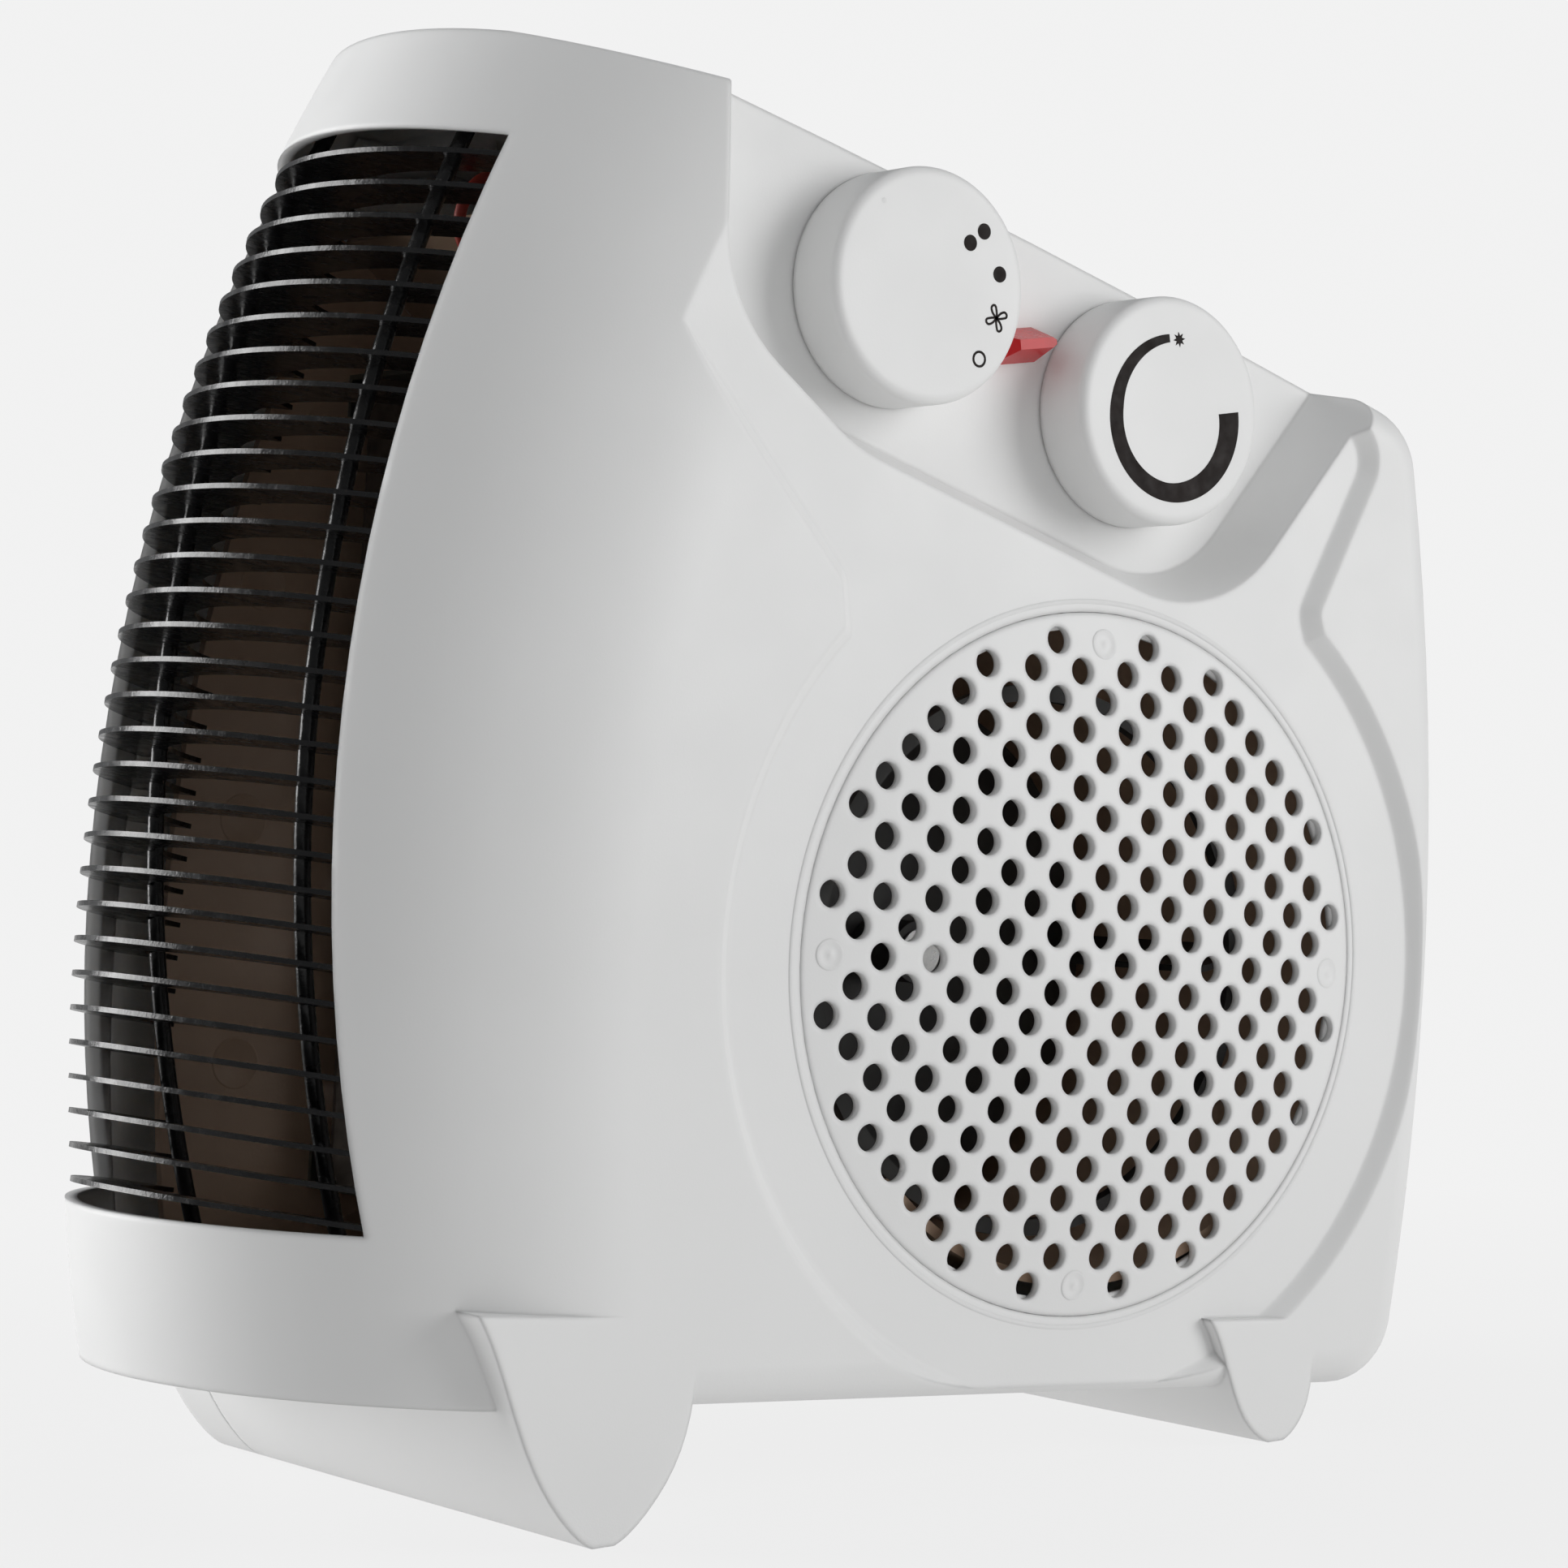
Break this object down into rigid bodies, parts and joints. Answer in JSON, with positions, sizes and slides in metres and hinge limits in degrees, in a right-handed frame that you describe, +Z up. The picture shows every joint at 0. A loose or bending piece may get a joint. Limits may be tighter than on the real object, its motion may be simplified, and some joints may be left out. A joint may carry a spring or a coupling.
{
  "type": "fan heater",
  "caption": "Upright electric fan heater with a bowed louvred outlet, a round side inlet grille, two knobs and a red pilot lens, the blower and heater inside.",
  "frame": {"origin": "middle of the footprint on the floor, under the centre of the bounding box", "axes": "+Z up, -Y towards the louvred outlet at the front, +X towards the side with the inlet grille and the knobs"},
  "size_m": [0.1324, 0.2551, 0.2608],
  "materials": {
    "shell_plastic": "satin moulded white",
    "guard_paint": "gloss black paint",
    "duct_plastic": "dark brown heat-resistant moulding",
    "lens": "clear red moulding",
    "neon_glass": "clear glass",
    "spindle_plastic": "nylon",
    "switch_body": "black moulding",
    "thermostat_ceramic": "unglazed",
    "bimetal": "rolled strip",
    "brass": "bare",
    "core_steel": "varnished laminations",
    "bobbin": "nylon",
    "winding": "enamelled wire under varnish",
    "copper": "bare copper",
    "bracket_metal": "die cast",
    "bronze": "sintered bronze",
    "steel": "zinc plated",
    "rotor_steel": "turned",
    "fan_plastic": "black moulding",
    "mica": "pressed mica board",
    "heater_steel": "dulled by heat",
    "heating_wire": "drawn resistance wire",
    "cutout": "drawn cap",
    "fuse": "drawn case",
    "gland_rubber": "moulded",
    "terminal_plastic": "nylon",
    "lead_brown": "sheathed wire",
    "lead_red": "sheathed wire"
  },
  "bodies": {
    "body": {"housing": "shell_plastic", "back_cover": "shell_plastic", "case_screws": "steel", "inlet_grille": "shell_plastic", "guard_rods": "guard_paint", "guard_louvers": "guard_paint", "rotary_switch": "switch_body", "thermostat_body": "thermostat_ceramic", "thermostat_bimetal": "bimetal", "control_nuts": "brass", "pilot_lens": "lens", "neon_lamp": "neon_glass", "air_duct": "duct_plastic", "motor_plate": "duct_plastic", "stator_core": "core_steel", "coil_bobbin": "bobbin", "stator_coil": "winding", "shading_rings": "copper", "rear_bearing_bracket": "bracket_metal", "front_bearing_bracket": "bracket_metal", "bearing_bushes": "bronze", "motor_screws": "steel", "mica_side_cards": "mica", "mica_cross_cards": "mica", "heater_end_plates": "heater_steel", "heater_screws": "steel", "heating_wire_front": "heating_wire", "heating_wire_rear": "heating_wire", "heater_terminals": "brass", "thermal_cutout": "cutout", "thermal_fuse": "fuse", "cord_gland": "gland_rubber", "cord_clamp": "bobbin", "clamp_screws": "steel", "terminal_block": "terminal_plastic", "supply_lead": "lead_brown", "heater_lead": "lead_red"},
    "fan": {"impeller": "fan_plastic", "rotor": "rotor_steel", "motor_shaft": "steel", "hub_clip": "steel"},
    "switch_dial": {"switch_knob": "shell_plastic", "switch_spindle": "spindle_plastic"},
    "thermostat_dial": {"thermostat_knob": "shell_plastic", "thermostat_spindle": "spindle_plastic"}
  },
  "joints": [
    {"name": "fan_spin", "type": "hinge", "parent": "body", "child": "fan", "pos_m": [0, 0.03986, 0.0919], "axis": [1, 0, 0], "continuous": true},
    {"name": "switch_turn", "type": "hinge", "parent": "body", "child": "switch_dial", "pos_m": [0.06, 0.00654, 0.21395], "axis": [1, 0, 0], "range_deg": [-90, 0]},
    {"name": "thermostat_turn", "type": "hinge", "parent": "body", "child": "thermostat_dial", "pos_m": [0.06, 0.06175, 0.19281], "axis": [1, 0, 0], "range_deg": [-206, 77]}
  ]
}
